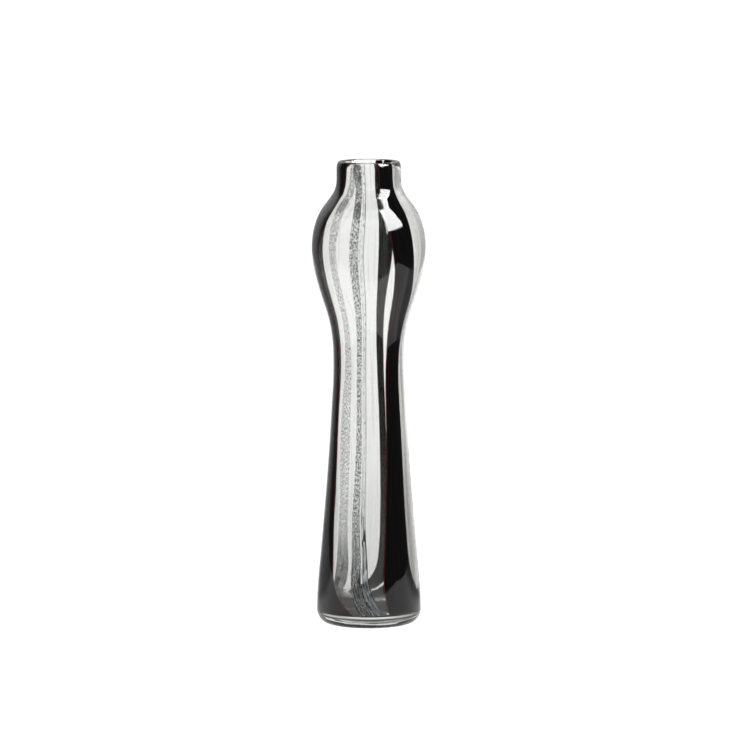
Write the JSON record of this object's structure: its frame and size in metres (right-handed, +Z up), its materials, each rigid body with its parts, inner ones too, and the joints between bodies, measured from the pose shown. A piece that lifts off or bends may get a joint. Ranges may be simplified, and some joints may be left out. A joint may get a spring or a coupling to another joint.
{
  "type": "art glass vase",
  "caption": "Tall hand-blown glass vase with a short collar, a round bulb, a slim waist and black and grey canes cased in clear glass.",
  "frame": {"origin": "centre of the resting plane under the foot", "axes": "+Z up along the vessel's axis, -Y towards the front, +X to the right seen from the front"},
  "size_m": [0.0741, 0.0742, 0.3],
  "materials": {
    "gather_glass": "clear blown glass, the inside skin of the vessel",
    "casing_glass": "clear fire-polished casing, faintly wavy",
    "foot_glass": "clear solid glass, round edge, ground resting ring",
    "lip_glass": "clear fire-polished bead",
    "clear_cane": "clear cane fused into the wall, with fine drawn lines",
    "black_cane": "dense black glass, dark red where it thins out at its edges",
    "grey_cane": "smoky glass full of fine dark drawn flecks",
    "pale_cane": "pale bluish grey glass with faint drawn flecks"
  },
  "bodies": {
    "root": {"inner_gather": "gather_glass", "outer_casing": "casing_glass", "clear_foot": "foot_glass", "lip_bead": "lip_glass", "grey_cane_front": "grey_cane", "pale_cane_front": "pale_cane", "clear_cane_front": "clear_cane", "black_cane_front": "black_cane", "clear_cane_right": "clear_cane", "black_cane_back_right": "black_cane", "clear_cane_back_right": "clear_cane", "black_cane_back": "black_cane", "clear_cane_back": "clear_cane", "grey_cane_back": "grey_cane", "clear_cane_back_left": "clear_cane", "black_cane_left": "black_cane", "clear_cane_front_left": "clear_cane"}
  },
  "joints": []
}
